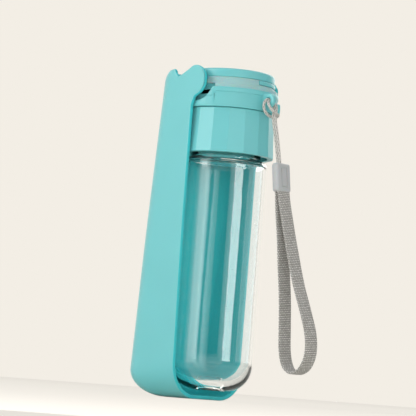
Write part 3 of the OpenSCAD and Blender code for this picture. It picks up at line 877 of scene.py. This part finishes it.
@dataclass
class Studio:
    """Camera, lamps, cards, floor and backdrop."""

    azimuth: float = 46.0
    elevation: float = -5.0
    distance: float = 1308.9
    aim: Point = (10.47, -6.5, 120.71)
    lean: float = 4.3
    lens: float = 178.86
    backdrop: str = "F3EEE5"
    paper: str = "EFEBE3"
    paper_share: float = 0.8  # how much of the backdrop's plain colour shows over the floor's shadow
    floor_size: float = 6.0  # metres
    floor_drop: float = 0.2  # keeps the floor clear of the foot
    even_light: float = 0.5
    softboxes: tuple[Softbox, ...] = (
        Softbox("key_softbox", -22, 0.75, 1.1, 0.7, 0.9, 4.0),
        Softbox("left_softbox", -12, 0.1, 0.8, 0.42, 0.85, 1.3),
        Softbox("right_softbox", 91, 0.15, 0.85, 0.7, 0.85, 0.8),
        Softbox("front_fill", 52, 0.1, 0.9, 0.6, 0.6, 2.9, mirrored=False),
        Softbox("back_fill", 200, 0.7, 1.1, 0.8, 0.8, 2.4),
    )
    cards: tuple[Card, ...] = (
        Card("black_card", 30, 1.6, 2.0, 0.03, 0.03, 0.03),
        Card("white_card", 92, 0.7, 0.4, 0.25, 11.0, 2.0),
        Card("grey_card", 148, 0.7, 0.85, 0.12, 2.2, 0.6),
    )

    def build(self) -> None:
        """Makes the camera, the world, the lamps, the cards and the floor."""
        self.place_camera()
        self.light_world()
        for thing in (*self.softboxes, *self.cards):
            thing.hang()
        self.lay_floor()

    def place_camera(self) -> None:
        """Puts the camera at the photograph's angle, rolled as the bottle leans there."""
        a, e = math.radians(self.azimuth), math.radians(self.elevation)
        away = Vector((math.sin(a) * math.cos(e), -math.cos(a) * math.cos(e), math.sin(e)))
        data = bpy.data.cameras.new("studio_camera")
        data.lens = self.lens
        data.sensor_width = 36.0
        data.clip_start = 0.05
        camera = bpy.data.objects.new("studio_camera", data)
        place = Matrix.Translation(Vector(self.aim) * MM + away * self.distance * MM)
        turn = (-away).to_track_quat("-Z", "Y").to_matrix().to_4x4()
        camera.matrix_world = place @ turn @ Matrix.Rotation(math.radians(self.lean), 4, "Z")
        bpy.context.scene.collection.objects.link(camera)
        bpy.context.scene.camera = camera

    def light_world(self) -> None:
        """Sets a plain backdrop for the eye and for reflections, and an even light on the object."""
        world = bpy.data.worlds.new("studio_world")
        bpy.context.scene.world = world
        world.use_nodes = True
        tree = world.node_tree
        tree.nodes.clear()
        seen = any_ray(tree, "Is Camera Ray", "Is Transmission Ray", "Is Glossy Ray")
        light = add_node(tree, "ShaderNodeBackground", Color=linear("F4F6F8"), Strength=self.even_light)
        plain = add_node(tree, "ShaderNodeBackground", Color=linear(self.backdrop), Strength=1.0)
        mixed = add_node(
            tree, "ShaderNodeMixShader", n0=seen, n1=light.outputs["Background"],
            n2=plain.outputs["Background"],
        )
        add_node(tree, "ShaderNodeOutputWorld", Surface=mixed.outputs["Shader"])

    def lay_floor(self) -> None:
        """Lays a plain floor of the backdrop's colour, which keeps the bottle's shadow."""
        bpy.ops.object.select_all(action="DESELECT")
        bpy.ops.mesh.primitive_plane_add(size=self.floor_size, location=(0, 0, -self.floor_drop * MM))
        floor = bpy.context.active_object
        floor.name = "studio_floor"
        made = blank_material("backdrop_paper")
        tree = made.node_tree
        matt = add_node(tree, "ShaderNodeBsdfDiffuse", Color=linear(self.paper), Roughness=0.9)
        plain = add_node(tree, "ShaderNodeEmission", Color=linear(self.backdrop), Strength=1.0)
        seen = any_ray(tree, "Is Camera Ray", "Is Transmission Ray")
        part = add_node(tree, "ShaderNodeMath", {"operation": "MULTIPLY"}, n0=seen, n1=self.paper_share)
        mixed = add_node(
            tree, "ShaderNodeMixShader", n0=part.outputs["Value"], n1=matt.outputs["BSDF"],
            n2=plain.outputs["Emission"],
        )
        add_node(tree, "ShaderNodeOutputMaterial", Surface=mixed.outputs["Shader"])
        floor.data.materials.append(made)


# ------------------------------------------------------------------ strap


@dataclass
class Strap:
    """Braided cord through the eyelet, slider and woven wrist loop. They hang from the head."""

    cord_d: float = 1.8
    cord_sides: int = 16
    web_w: float = 10.0
    web_t: float = 1.8
    web_crown: float = 0.12  # how much thinner the band is at its edges than in its middle
    web_steps: int = 12
    cord_route: tuple[Point, ...] = (
        (43.6, 2.6, 148.5), (42.3, 2.3, 156), (40.3, 1.9, 166), (38.0, 1.7, 175), (37.0, 2.1, 180),
        (36.4, 3.0, 183.6), (35.2, 3.1, 186.8), (34.3, 1.9, 188.8), (34.1, 0, 189.1), (34.0, -1.9, 188.7),
        (33.6, -3.1, 186.9), (33.6, -3.4, 184.6), (34.3, -3.3, 182.2), (35.2, -2.3, 180.1),
        (35.2, -0.3, 179), (35.2, 2.1, 178.6), (36.3, 3.9, 178.5), (38.3, 4.2, 178.8), (40.1, 3.3, 179.3),
        (41.0, 1.2, 180), (40.8, -1.0, 180.9), (39.9, -2.7, 182.3), (38.5, -3.4, 184.3),
        (37.0, -3.1, 186.3), (35.9, -1.9, 187.5), (35.5, 0, 187.8), (35.9, 1.9, 187.5), (37.4, 3.1, 186),
        (38.6, 3.0, 183.4), (38.9, 2.2, 180), (39.8, 1.7, 175), (42.1, 1.9, 166), (44.1, 2.3, 156),
        (45.4, 2.6, 148.5),
    )
    loop_route: tuple[Point, ...] = (
        (48.3, 3.9, 133), (49, 4, 130), (50.2, 4.3, 124), (52.2, 4.8, 116), (55.4, 5.4, 104),
        (58.7, 5.9, 93), (61.9, 6.5, 82), (65.3, 7, 72), (69, 7.5, 63), (72.6, 7.9, 54), (75.4, 8.3, 46),
        (76.6, 8.8, 37.5), (75.6, 9.1, 30), (72.2, 9.4, 24), (67.6, 9.6, 21), (62.9, 9.6, 20.5),
        (58.6, 9.4, 23), (55.8, 9.2, 28.5), (54.5, 8.8, 36), (54.2, 8.3, 45), (53.4, 7.4, 64),
        (51.6, 6.5, 82), (49.5, 5.4, 104), (47.8, 4.6, 118), (46.8, 4, 130), (46.4, 3.9, 133),
    )
    slider_at: Point = (46.4, 3.6, 140)
    slider_tilt: float = 8.3
    slider_size: Point = (5.4, 12.0, 18.0)
    slider_round: float = 1.5
    key_inset: float = 1.25  # from the rounded edge to the first loop of faces
    key_wide: float = 5.2
    key_line: float = 0.55
    key_sink: float = 0.4

    def build(self) -> list[bpy.types.Object]:
        """Returns:
            The slider, the cord and the band.
        """
        slider = self.make_slider()
        cord, cord_points = self.make_cord()
        band, band_points = self.make_band()
        seat(slider, Body.HEAD, "cord_slider")
        seat(cord, Body.HEAD, "lanyard_cord")
        seat(band, Body.HEAD, "wrist_loop")
        LOG.info("strap: cord %.0f mm, band %.0f mm", length_of(cord_points), length_of(band_points))
        return [slider, cord, band]

    def make_cord(self) -> tuple[bpy.types.Object, list[Vector]]:
        """Makes the braided cord.

        Returns:
            The cord and its fine route.
        """
        angles = [math.tau * k / self.cord_sides for k in range(self.cord_sides)]
        section = [(self.cord_d / 2 * math.cos(a), self.cord_d / 2 * math.sin(a)) for a in angles]
        cord, points = swept("lanyard_cord_braid", self.cord_route, section, per=6)
        rim = math.pi * self.cord_d
        for spot in cord.data.uv_layers["weave"].data:
            spot.uv = (spot.uv[0] / rim, spot.uv[1])
        dress(cord, CORD)
        smooth(cord, 50)
        return cord, points

    def make_band(self) -> tuple[bpy.types.Object, list[Vector]]:
        """Makes the woven band.

        Returns:
            The band and its fine route.
        """
        half, thick = self.web_w / 2, self.web_t / 2
        edge = 0.5 * thick
        across = [-1 + 2 * k / self.web_steps for k in range(1, self.web_steps)]
        top = [(half * a, thick * (1 - self.web_crown * a * a)) for a in across]
        under = [(a, -b) for a, b in reversed(top)]
        section = [(-half, edge), *top, (half, edge), (half, -edge), *under, (-half, -edge)]
        band, points = swept("wrist_loop_webbing", self.loop_route, section, per=8, carry=False)
        dress(band, BAND)
        smooth(band, 60)
        return band, points

    def make_slider(self) -> bpy.types.Object:
        """Makes the slider: a block with rounded edges and a sunk key line on its face.

        Returns:
            The slider.
        """
        thick, wide, tall = self.slider_size
        open_wide = wide - 2 * (self.slider_round + self.key_inset)
        largest_strip = 9e-6  # square metres, more than any face of the key line has
        smallest_panel = 30e-6  # less than the middle of the face has
        key_half = (self.key_wide / 2 + 0.05) * MM
        key_reach = (tall / 2 - self.slider_round - self.key_inset + 0.15) * MM
        bpy.ops.object.select_all(action="DESELECT")
        bpy.ops.mesh.primitive_cube_add(size=1, location=(0, 0, 0))
        slider = bpy.context.active_object
        slider.name = "cord_slider_moulded"
        slider.scale = (thick * MM, wide * MM, tall * MM)
        bpy.ops.object.transform_apply(scale=True)
        with editing(slider):
            select_sharp_edges(slider, 60)
            bpy.ops.mesh.bevel(
                offset=self.slider_round * MM, segments=5, profile=0.5, clamp_overlap=True, affect="EDGES"
            )
            # the key line is a thin ring round the middle of the front face, pushed in
            select_faces(slider, lambda f: f.normal.x > 0.999)
            bpy.ops.mesh.inset(thickness=self.key_inset * MM)
            select_faces(slider, lambda f: f.normal.x > 0.999 and f.calc_area() > smallest_panel)
            bpy.ops.transform.resize(
                value=(1, self.key_wide / open_wide, 1), center_override=(thick / 2 * MM, 0, 0)
            )
            bpy.ops.mesh.inset(thickness=self.key_line * MM)
            select_faces(
                slider, lambda f: f.normal.x > 0.999 and f.calc_area() < largest_strip
                and max(abs(v.co.y) for v in f.verts) < key_half
                and max(abs(v.co.z) for v in f.verts) < key_reach,
            )
            bpy.ops.mesh.extrude_region_move(
                TRANSFORM_OT_translate={"value": (-self.key_sink * MM, 0, 0)}
            )
        smooth(slider, 40)
        place = Matrix.Translation(Vector(self.slider_at) * MM + Vector((AXIS_X * MM, 0, 0)))
        slider.data.transform(place @ Matrix.Rotation(math.radians(-self.slider_tilt), 4, "Y"))
        dress(slider, GREY)
        return slider


# ------------------------------------------------------------------ bowl


@dataclass
class Lattice:
    """Points of the bowl's two mirrored sides, found again by side, column and row."""

    points: list[Point] = field(default_factory=list)
    numbers: dict[tuple[int, int, int], int] = field(default_factory=dict)

    def put(self, column: int, row: int, x: float, half: float, z: float) -> None:
        """Adds a point on both sides. The first column, in the middle of the back, is shared.

        Args:
            column: Its column, from the middle of the back to the ear.
            row: Its row, from the foot up.
            x: Its place, measured from the bottle's axis.
            half: Its distance from the middle plane.
            z: Its height.
        """
        for side in (-1, 1):
            if column == 0 and side == 1:
                self.numbers[1, 0, row] = self.numbers[-1, 0, row]
            else:
                self.numbers[side, column, row] = len(self.points)
                self.points.append((x + AXIS_X, side * half, z))

    def patch(self, side: int, column: int, row: int) -> tuple[int, ...]:
        """Joins a point to the next column and the next row.

        Args:
            side: -1 or 1.
            column: The patch's first column.
            row: Its first row.

        Returns:
            The face, as point numbers.
        """
        corners = ((column, row), (column + 1, row), (column + 1, row + 1), (column, row + 1))
        return tuple(self.numbers[(side, *corner)] for corner in corners)


@dataclass
class BowlShell:
    """The long drinking bowl with its ears, as one moulded shell.

    Places along X are measured from the bottle's axis.
    """

    half: float = 33.1  # half of its width
    side_draw: float = 1.5  # how much less that is at the foot
    draw_z: float = 120.0  # height at which it is full
    wall: float = 2.5
    top: float = 206.5  # height of the back's upper edge
    back: float = 49.5  # distance of the back wall at the foot
    lean: float = 0.073  # how much closer it is per millimetre of height
    lean_r: float = 9.0  # radius of the curl at its upper edge
    curl: float = 7.5  # height of that curl
    rim_back: float = 1.0  # how far the rim lies behind the axis
    back_corner: float = 14.0
    front_round: float = 23.0  # rounding between the foot and the rim
    back_round: float = 17.0  # rounding between the foot and the back
    ear_r: float = 9.8
    ear_run: float = 4.0  # how far past the ear the side wall's line is drawn
    pivot_z: float = 198.2
    neck_fillet: float = 6.0
    valley_slope: float = 29.0  # slopes of the notch behind the ear, in degrees
    valley_back_slope: float = 35.0
    valley_run: float = 10.4
    valley_r: float = 1.6
    edge_drop: float = 6.0  # the upper edge's places are read this far below the top
    rim_round: float = 0.85
    rows: tuple[float, ...] = (
        0, 0.15, 0.5, 1.1, 1.9, 3, 4.3, 6, 8, 10.2, 12.6, 15.2, 18, 21, 24, 30, 38, 48, 60, 74, 88, 102,
        116, 130, 144, 158, 168, 176,
    )
    rise: int = 16  # rows from the ear's fillet to the upper edge
    ear_columns: tuple[float, ...] = (0.6, 1.4, 2.4, 3.6, 4.8, 6.0, 7.0, 7.9, 8.6, 9.15, 9.5, 9.72)

    @staticmethod
    def inset(r: float, h: float) -> float:
        """How far a rounding of radius r draws in at height h."""
        return 0.0 if h >= r else r - math.sqrt(max(0.0, r * r - (r - max(h, 0.0)) ** 2))

    def back_at(self, z: float) -> float:
        """Distance of the back wall behind the bottle's axis at a height."""
        over = max(0.0, min(z, self.top) - (self.top - self.curl))
        return self.back - self.lean * z - (self.lean_r - math.sqrt(self.lean_r ** 2 - over ** 2))

    def side_at(self, z: float) -> float:
        """Half width of the bowl at a height."""
        u = min(1.0, max(0.0, z / self.draw_z))
        return self.half - self.side_draw * (1 - u * u * (3 - 2 * u))

    def outline(self, z: float) -> tuple[float, float, float, float]:
        """Sizes of the bowl's outline.

        Args:
            z: The height.

        Returns:
            Place of the back wall, half width at the rim, half width at the back, and corner radius.
        """
        rim_half = self.side_at(z) - self.inset(self.front_round, z)
        back_half = self.side_at(z) - self.inset(self.back_round, z)
        back = -(self.back_at(z) - self.inset(self.back_round, z))
        return back, rim_half, back_half, min(self.back_corner, back_half - 0.5)

    def side_point(self, z: float, s: float) -> tuple[float, float]:
        """Point of the half outline.

        Args:
            z: The height.
            s: 0 at the middle of the back, 1 where the corner starts, 2 where it ends, 3 at the rim.

        Returns:
            Its place along X, and its distance from the middle plane.
        """
        back, _, back_half, r = self.outline(z)
        if s <= 1:
            return back, (back_half - r) * s
        if s <= 2:
            a = math.radians(180 - 90 * (s - 1))
            return back + r + r * math.cos(a), back_half - r + r * math.sin(a)
        x = back + r + (-self.rim_back - back - r) * (s - 2)
        return x, self.half_at(x, z)

    def half_at(self, x: float, z: float) -> float:
        """Half width over the side wall, which runs straight from the corner to the ear.

        Args:
            x: The place along X.
            z: The height.

        Returns:
            The half width.
        """
        back, rim_half, back_half, r = self.outline(z)
        front = self.ear_r + self.ear_run
        u = (x - back - r) / (front - back - r)
        return back_half + (rim_half - back_half) * min(1.0, max(0.0, u))

    def top_at(self, x: float) -> float:
        """Height of the side wall's upper edge, over the ear, the valley and the back.

        Args:
            x: The place along X.

        Returns:
            The height.
        """
        slope, back_slope = math.radians(self.valley_slope), math.radians(self.valley_back_slope)
        ear_x = -self.ear_r * math.sin(slope)
        valley_x = ear_x - self.valley_run * math.cos(slope) - self.valley_r * math.sin(slope)
        valley_z = (self.pivot_z + self.ear_r * math.cos(slope) - self.valley_run * math.sin(slope)
                    + self.valley_r * math.cos(slope))
        if x >= ear_x:
            return self.pivot_z + math.sqrt(max(0.0, self.ear_r ** 2 - x * x))
        left = valley_x + self.valley_r * math.sin(slope)
        if x >= left:
            return self.pivot_z + self.ear_r * math.cos(slope) + (x - ear_x) * math.tan(slope)
        right = valley_x - self.valley_r * math.sin(back_slope)
        if x >= right:
            return valley_z - math.sqrt(max(0.0, self.valley_r ** 2 - (x - valley_x) ** 2))
        start = valley_z - self.valley_r * math.cos(back_slope)
        return min(self.top, start + (right - x) * math.tan(back_slope))

    def fillet(self) -> tuple[float, float, float]:
        """Fillet between the rim and the ear.

        Returns:
            Place and height of its centre, and the place where it meets the ear.
        """
        x = -self.rim_back + self.neck_fillet
        z = self.pivot_z - math.sqrt((self.ear_r + self.neck_fillet) ** 2 - x ** 2)
        return x, z, x * self.ear_r / (self.ear_r + self.neck_fillet)

    def lay_trough(self, lattice: Lattice, columns: Sequence[float], low: Sequence[float]) -> None:
        """Puts the points of the back, the corners and the side walls.

        Args:
            lattice: The lattice that gets them.
            columns: Place of each column along the half outline.
            low: Heights of the level rows.
        """
        for c, s in enumerate(columns):
            edge_x = self.side_point(self.top - self.edge_drop, s)[0]
            climb = self.top_at(edge_x) - low[-1]
            for r in range(len(low) + self.rise):
                above = r - len(low) + 1
                z = low[r] if above <= 0 else low[-1] + climb * above / self.rise
                x, half = self.side_point(z, s)
                lattice.put(c, r, x, half, z)

    def lay_ear(self, lattice: Lattice, column: int, row: int) -> None:
        """Puts the points of the ear, which goes on from the rim's column over the fillet.

        Args:
            lattice: The lattice that gets them.
            column: The ear's first column.
            row: Its first row.
        """
        fillet_x, fillet_z, neck_x = self.fillet()
        for k, x in enumerate(self.ear_columns):
            if x < neck_x:
                bottom = fillet_z + math.sqrt(max(0.0, self.neck_fillet ** 2 - (x - fillet_x) ** 2))
            else:
                bottom = self.pivot_z - math.sqrt(max(0.0, self.ear_r ** 2 - x * x))
            for r in range(self.rise + 1):
                z = bottom + (self.top_at(x) - bottom) * r / self.rise
                lattice.put(column + k, row + r, x, self.half_at(x, z), z)

    def lay_sheet(self) -> bpy.types.Object:
        """Builds the bowl's outer face as a grid that follows its edges.

        Returns:
            The open sheet.
        """
        low = [*self.rows, self.fillet()[1]]
        columns = [i / 7 for i in range(7)] + [1 + i / 9 for i in range(9)] + [2 + i / 14 for i in range(15)]
        last = len(columns) - 1
        lattice = Lattice()
        self.lay_trough(lattice, columns, low)
        self.lay_ear(lattice, last + 1, len(low) - 1)
        faces = [
            lattice.patch(side, c, r) for side in (-1, 1) for c in range(last + len(self.ear_columns))
            for r in range(0 if c < last else len(low) - 1, len(low) + self.rise - 1)
        ]
        # the foot: the points along the straight back share one face with the first pair of the corners
        at = lattice.numbers
        first = sum(s <= 1 for s in columns)
        faces.append(tuple([at[-1, c, 0] for c in range(first, -1, -1)]
                           + [at[1, c, 0] for c in range(1, first + 1)]))
        faces += [(at[-1, c, 0], at[-1, c + 1, 0], at[1, c + 1, 0], at[1, c, 0]) for c in range(first, last)]
        return mesh_piece("bowl_shell", lattice.points, faces)

    def build(self) -> bpy.types.Object:
        """Thickens the sheet inwards, rounds its rim and dresses it.

        Returns:
            The bowl.
        """
        shell = self.lay_sheet()
        with editing(shell):
            bpy.ops.mesh.remove_doubles(threshold=0.02 * MM)
            bpy.ops.mesh.normals_make_consistent(inside=False)
        self.face_outwards(shell)
        # the inside and the rim get a deeper teal than the outside: painted shade, as both lie in shade
        shell.data.materials.append(SHELL.material())
        shell.data.materials.append(INSIDE_PAINTED_SHADE.material())
        modify(shell, "SOLIDIFY", thickness=self.wall * MM, offset=-1.0, use_even_offset=True, use_rim=True,
               material_offset=1, material_offset_rim=1)
        modify(shell, "BEVEL", width=self.rim_round * MM, segments=3, limit_method="ANGLE",
               angle_limit=math.radians(50), use_clamp_overlap=False, harden_normals=False)
        smooth(shell, 35)
        seat(shell, Body.BOWL, "bowl")
        return shell

    @staticmethod
    def face_outwards(shell: bpy.types.Object) -> None:
        """Flips an open sheet whose foot doesn't face down.

        Args:
            shell: The sheet.
        """
        foot = max((f for f in shell.data.polygons if f.center.z < 1e-6), key=lambda f: f.area)
        if foot.normal.z > 0:
            with editing(shell):
                bpy.ops.mesh.flip_normals()


# ------------------------------------------------------------------ bottle


@dataclass
class ClearBottle:
    """The clear bottle, turned from its own section."""

    radius: float = 26.0
    wall: float = 2.2
    base: float = 4.6  # thickness of the base
    corner: float = 16.5
    low: float = 5.9  # height of the underside
    punt: float = 1.6  # rise of the underside's middle
    shoulder: float = 152.4
    shoulder_round: float = 4.0
    inner_round: float = 3.0  # the same rounding inside
    neck_r: float = 22.0
    neck_top: float = 171.0
    lip: float = 0.5
    levels: tuple[float, ...] = (40, 60, 80, 100, 120, 140)

    @staticmethod
    def arc(cx: float, cz: float, r: float, start: float, end: float,
            steps: int) -> list[tuple[float, float]]:
        """Points of an arc in the section.

        Args:
            cx: Radius at which its centre lies.
            cz: Height of its centre.
            r: Its own radius.
            start: Its first angle, in degrees.
            end: Its last angle.
            steps: Number of steps.

        Returns:
            Radius and height of each point.
        """
        angles = [math.radians(start + (end - start) * i / steps) for i in range(steps + 1)]
        return [(cx + r * math.cos(a), cz + r * math.sin(a)) for a in angles]

    def build(self) -> bpy.types.Object:
        """Builds the bottle as one closed body and dresses it.

        Returns:
            The bottle.
        """
        inner_r, inner_c = self.radius - self.wall, self.corner - self.wall
        floor = self.low + self.base
        flat = self.radius - self.corner
        bore = self.neck_r - self.wall
        under = self.shoulder - self.wall
        outer, inner = self.shoulder_round, self.inner_round
        outline = [
            (0.0, self.low + self.punt), (flat - 2.5, self.low + self.punt), (flat - 1, self.low),
            *self.arc(flat, self.low + self.corner, self.corner, -88, 0, 18),
            *[(self.radius, z) for z in self.levels],
            *self.arc(self.radius - outer, self.shoulder - outer, outer, 0, 84, 7),
            (self.neck_r + 0.4, self.shoulder + 0.05), (self.neck_r, self.shoulder + 0.45),
            (self.neck_r, self.neck_top - self.lip), (self.neck_r - self.lip, self.neck_top),
            (bore + self.lip, self.neck_top), (bore, self.neck_top - self.lip),
            (bore, under + 0.2), (bore + 0.5, under - 0.5),
            *self.arc(inner_r - inner, under - inner, inner, 70, 0, 6),
            *[(inner_r, z) for z in reversed(self.levels)],
            *self.arc(inner_r - inner_c, floor + inner_c, inner_c, 0, -88, 18),
            (0.0, floor),
        ]
        bottle = turned("bottle_clear", outline)
        smooth(bottle, 40)
        dress(bottle, CLEAR)
        seat(bottle, Body.BOTTLE, "bottle")
        return bottle


# ------------------------------------------------------------------ head and collar


@dataclass(frozen=True)
class Moulding:
    """A CAD node whose copy gets rounded edges."""

    node: str
    body: Body
    finish: Finish
    radius: float
    flat: float = 32  # the collar's facets need a smaller angle to stay crisp


@dataclass
class MouldedPieces:
    """Rigid pieces whose CAD shape is right."""

    rounded: tuple[Moulding, ...] = (
        Moulding("head_body", Body.HEAD, SHELL, 0.35),
        Moulding("outlet_cap", Body.HEAD, SHELL, 0.3),
        Moulding("grip_collar", Body.COLLAR, SHELL, 0.4, flat=14),
        Moulding("lock_slide", Body.LOCK, SHELL, 0.2),
        Moulding("gasket_ring_front", Body.HEAD, MILKY, 0.2),
        Moulding("gasket_ring_rear", Body.HEAD, MILKY, 0.2),
        Moulding("seal_band_front", Body.HEAD, MILKY, 0.15),
        Moulding("seal_band_rear", Body.HEAD, MILKY, 0.15),
        Moulding("push_button", Body.BUTTON, SHELL, 0.2),
    )
    plain: tuple[tuple[str, Finish], ...] = (
        ("hinge_pin_left", INNER), ("hinge_pin_right", INNER), ("hinge_washer_left", WHITE),
        ("hinge_washer_right", WHITE), ("cap_o_ring", RUBBER), ("valve_seat", WHITE),
        ("button_seal", RUBBER), ("valve_stem", WHITE), ("valve_disc", RUBBER), ("valve_nut", STEEL),
        ("valve_spring", STEEL), ("neck_gasket", RUBBER),
    )

    def build(self, frame: dict) -> list[bpy.types.Object]:
        """Rounds what shows and dresses all of them.

        Args:
            frame: The loaded frame.

        Returns:
            The pieces, first the rounded ones.
        """
        pieces = []
        for moulding in self.rounded:
            piece = rounded_copy(frame, moulding.node, moulding.radius, moulding.flat)
            dress(piece, moulding.finish)
            seat(piece, moulding.body, moulding.node)
            pieces.append(piece)
        for node, finish in self.plain:
            piece = frame["nodes"][node]
            dress(piece, finish)
            smooth(piece)
            pieces.append(piece)
        return pieces


# ------------------------------------------------------------------ main


def main() -> None:
    """Builds the scene in order and reports each piece."""
    logging.basicConfig(level=logging.INFO, format="%(name)s: %(message)s")
    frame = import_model()
    bpy.context.scene.view_settings.view_transform = "Standard"
    Studio().build()
    pieces = [
        *Strap().build(), BowlShell().build(), ClearBottle().build(), *MouldedPieces().build(frame)
    ]
    for piece in pieces:
        LOG.info("%s: %d faces", piece.name, len(piece.data.polygons))


if __name__ == "__main__":
    main()
